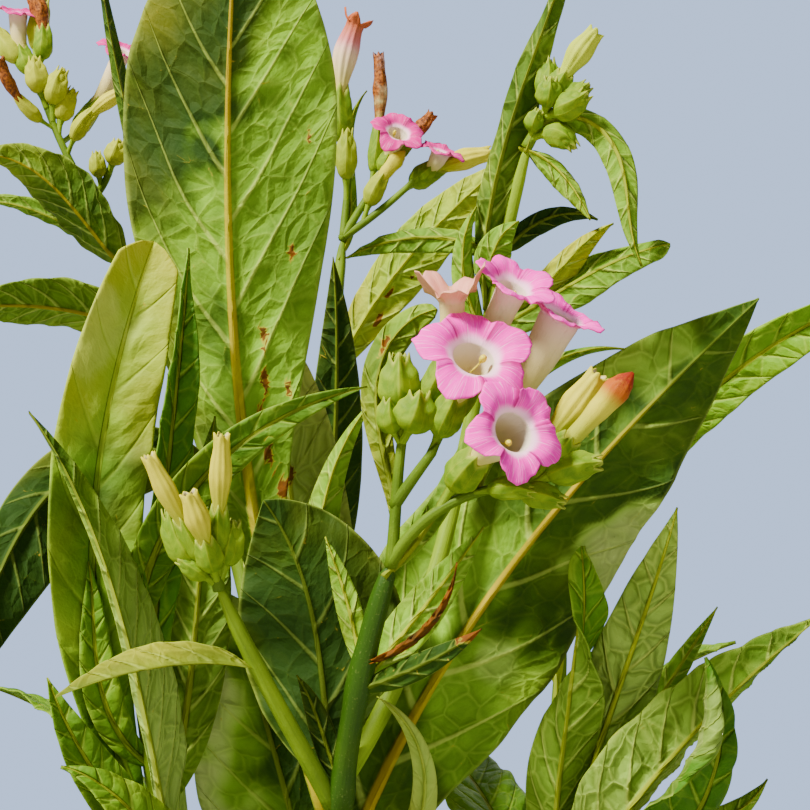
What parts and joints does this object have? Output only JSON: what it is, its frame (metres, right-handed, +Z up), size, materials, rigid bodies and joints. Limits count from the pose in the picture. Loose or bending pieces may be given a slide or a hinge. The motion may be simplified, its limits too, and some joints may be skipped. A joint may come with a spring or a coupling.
{
  "type": "tobacco plant",
  "caption": "Tobacco plant in flower: upright stalk with broad lance-shaped leaves, leafy side shoots, and loose heads of pink trumpet flowers, cream buds and pointed green calyxes.",
  "frame": {"origin": "middle of the flat cut under the stalk, at ground level", "axes": "+Z up the stalk, -Y towards the front, from which the pictured flower heads are seen, +X to the right in the front view"},
  "size_m": [0.8559, 0.8504, 1.3756],
  "materials": {
    "stem": "satin, ribbed green stalk with fine hairs",
    "shoot": "satin, hairy green shoots with small leaves",
    "leaf": "soft, puckered leaf, paler underneath, with raised pale veins",
    "flowers": "matte pink petals, cream tubes and green calyxes"
  },
  "bodies": {
    "root": {"stalk": "stem", "shoot_front": "shoot", "shoot_leader": "shoot", "shoot_back_left": "shoot", "shoot_left": "shoot", "shoot_right": "shoot", "shoot_hidden_right": "shoot", "shoot_hidden_left": "shoot", "branch_buds": "shoot", "branch_upper": "shoot", "head_front": "flowers", "head_buds": "flowers", "head_upper": "flowers", "head_leader": "flowers", "head_back_left": "flowers", "head_hidden_right": "flowers", "head_hidden_left": "flowers", "leaf_front_dark": "leaf", "leaf_front_tall": "leaf", "leaf_front_pale": "leaf", "leaf_front_arched": "leaf", "leaf_front_scorched": "leaf", "leaf_front_broad": "leaf", "leaf_bud_branch": "leaf", "leaf_upper_narrow": "leaf", "leaf_left_thin": "leaf", "leaf_left_broad": "leaf", "leaf_left_crossing": "leaf", "leaf_left_lance": "leaf", "leaf_left_inner": "leaf", "leaf_left_low": "leaf", "leaf_right_edge": "leaf", "leaf_right_curled": "leaf", "leaf_right_tall": "leaf", "leaf_right_long": "leaf", "leaf_far_right": "leaf", "leaf_back_slanting": "leaf", "leaf_back_inner": "leaf", "leaf_far_left": "leaf", "leaf_left_drooping": "leaf", "leaf_back_narrow": "leaf", "leaf_back_left": "leaf", "leaf_low_01": "leaf", "leaf_low_02": "leaf", "leaf_low_03": "leaf", "leaf_low_04": "leaf", "leaf_low_05": "leaf", "leaf_low_06": "leaf", "leaf_low_07": "leaf", "leaf_low_08": "leaf", "leaf_low_09": "leaf", "leaf_low_10": "leaf", "leaf_low_11": "leaf", "leaf_low_12": "leaf", "leaf_low_13": "leaf", "leaf_low_14": "leaf", "leaf_low_15": "leaf", "leaf_low_16": "leaf"}
  },
  "joints": []
}
